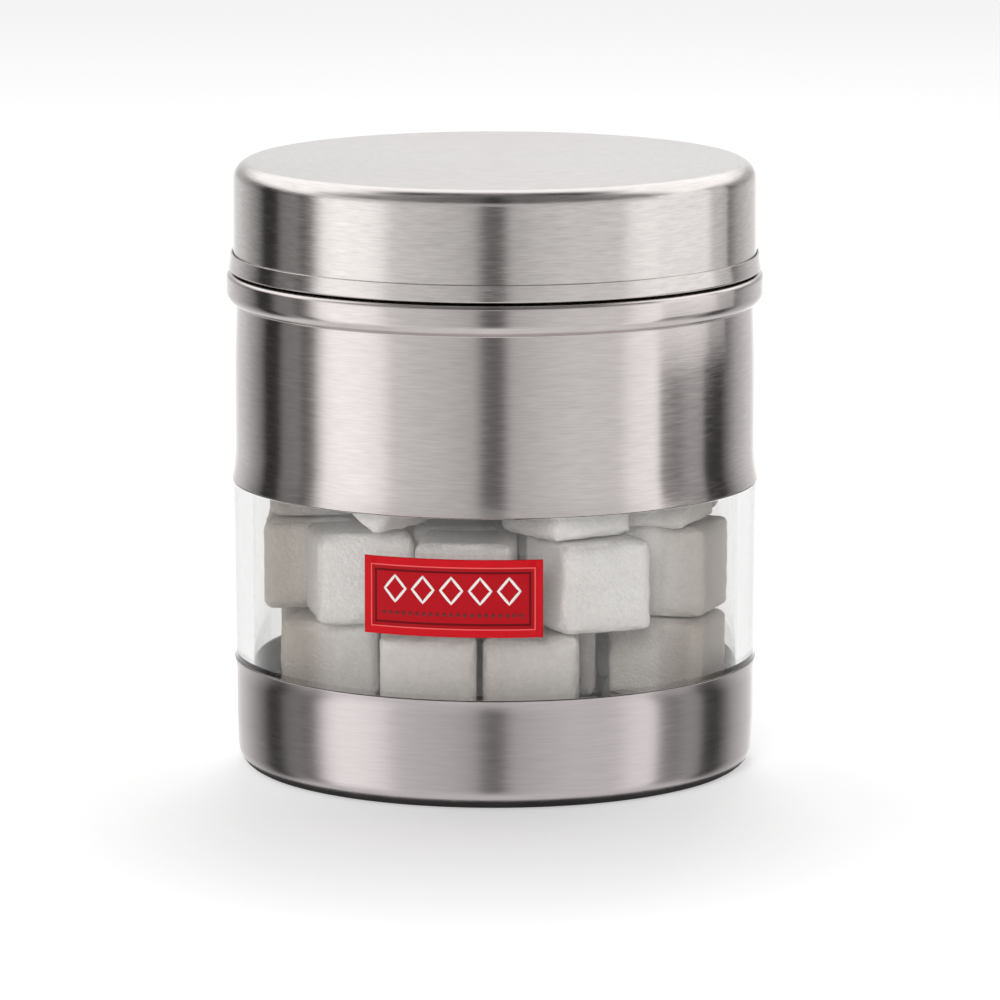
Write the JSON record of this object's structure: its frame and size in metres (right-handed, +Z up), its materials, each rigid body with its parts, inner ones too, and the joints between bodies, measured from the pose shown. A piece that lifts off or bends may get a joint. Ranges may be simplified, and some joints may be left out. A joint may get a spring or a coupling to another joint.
{
  "type": "see-through storage canister",
  "caption": "Round brushed steel canister with a clear window band, a push-on lid and sugar cubes inside.",
  "frame": {"origin": "middle of the foot, on the table plane", "axes": "+Z up along the axis of the canister; -Y towards the labelled front"},
  "size_m": [0.1022, 0.1022, 0.1162],
  "materials": {
    "lid_steel": "fine circular brushing, spun on top",
    "shell_steel": "fine brushing round the wall",
    "cup_steel": "soft satin brushing round the wall",
    "clear_acrylic": "clear moulded, polished",
    "sealant": "matte food-safe silicone",
    "label_print": "printed film with a raised border",
    "sugar": "pressed sugar crystals"
  },
  "bodies": {
    "canister": {"upper_shell": "shell_steel", "window_ring": "clear_acrylic", "bottom_cup": "cup_steel", "upper_seal": "sealant", "lower_seal": "sealant", "label": "label_print", "sugar_cubes": "sugar"},
    "lid": {"lid": "lid_steel"}
  },
  "joints": [
    {"name": "lid_lift", "type": "slide", "parent": "canister", "child": "lid", "axis": [0, 0, 1], "range_m": [0, 0.06]}
  ]
}
